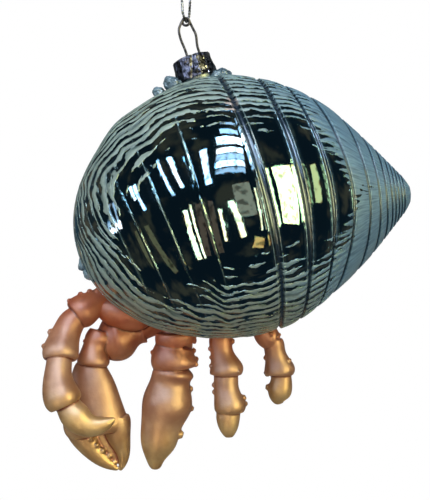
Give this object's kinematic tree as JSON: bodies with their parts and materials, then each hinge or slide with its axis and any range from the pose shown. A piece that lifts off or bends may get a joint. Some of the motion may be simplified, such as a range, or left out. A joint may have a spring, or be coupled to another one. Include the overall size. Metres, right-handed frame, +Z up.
{
  "type": "hanging glass ornament",
  "caption": "Hermit crab ornament: a ribbed mirrored glass shell with moulded claws and legs, hung by a wire hanger and a cord loop.",
  "frame": {"origin": "top inside of the cord loop, where a hook carries it", "axes": "+X to the shell's tip, +Y away from the viewer, +Z up"},
  "size_m": [0.1108, 0.0781, 0.193],
  "materials": {
    "mirrored_glass": "polished",
    "cap_metal": "satin",
    "spring_wire": "satin",
    "metallic_cord": "satin",
    "pearl_resin": "satin"
  },
  "bodies": {
    "cord_loop": {"hanging_cord": "metallic_cord", "cord_knot": "metallic_cord"},
    "hanger": {"hanger_wire": "spring_wire"},
    "cap": {"end_cap": "cap_metal"},
    "ornament": {"glass_shell": "mirrored_glass", "crab_body": "pearl_resin", "left_claw": "pearl_resin", "right_claw": "pearl_resin", "left_front_leg": "pearl_resin", "left_rear_leg": "pearl_resin", "right_front_leg": "pearl_resin", "right_rear_leg": "pearl_resin"}
  },
  "joints": [
    {"name": "swing", "type": "hinge", "parent": "cord_loop", "child": "hanger", "pos_m": [0, 0, -0.05], "axis": [0, 1, 0], "range_deg": [-30, 30]},
    {"name": "hanger_slide", "type": "slide", "parent": "hanger", "child": "cap", "axis": [-0.3173, 0, 0.9483], "range_m": [0, 0.0025]},
    {"name": "cap_pull", "type": "slide", "parent": "cap", "child": "ornament", "axis": [0.3173, 0, -0.9483], "range_m": [0, 0.016]}
  ]
}
